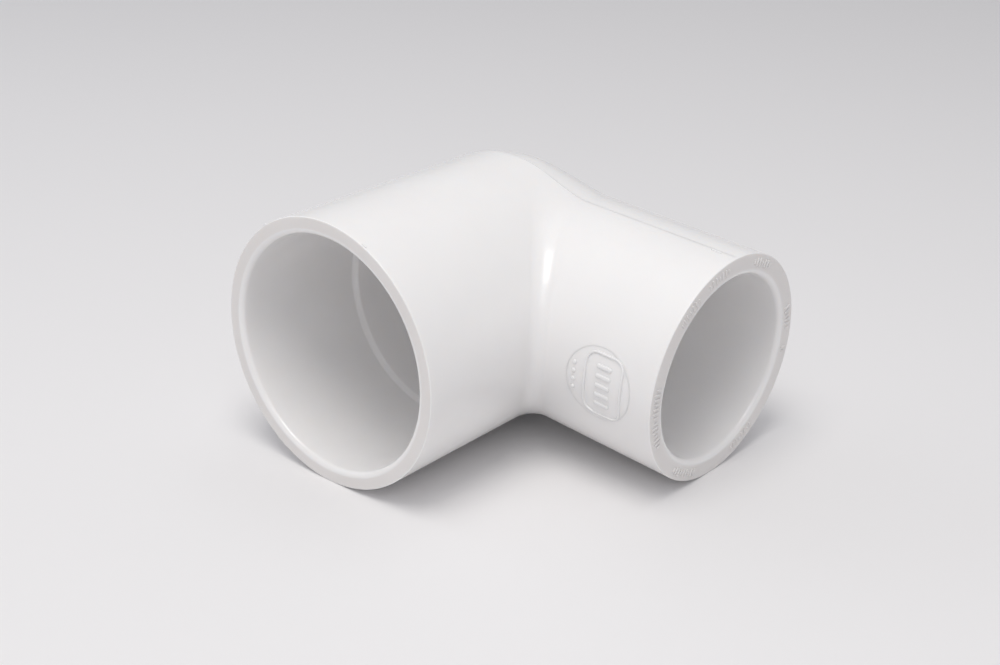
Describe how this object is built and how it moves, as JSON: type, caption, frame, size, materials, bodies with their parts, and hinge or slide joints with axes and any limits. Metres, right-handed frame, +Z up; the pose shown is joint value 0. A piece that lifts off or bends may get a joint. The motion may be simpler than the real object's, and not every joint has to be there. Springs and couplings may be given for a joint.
{
  "type": "reducing pipe elbow",
  "caption": "White PVC 90 degree reducing elbow with a large and a small solvent-weld socket, lying as it rests on a table.",
  "frame": {"origin": "middle of the underside of the fitting's box, on the surface that the fitting lies on", "axes": "+Z up from the surface; -Y is the way the large socket opens, on a level axis; the small socket opens towards +X on an axis that droops about 4 degrees, because its smaller rim also touches the surface"},
  "size_m": [0.1066, 0.0966, 0.0693],
  "materials": {
    "pvc": "semi-gloss moulded white PVC"
  },
  "bodies": {
    "root": {"elbow_body": "pvc", "parting_ridge": "pvc", "side_panel": "pvc", "rim_ticks": "pvc", "rim_nibs": "pvc"}
  },
  "joints": []
}
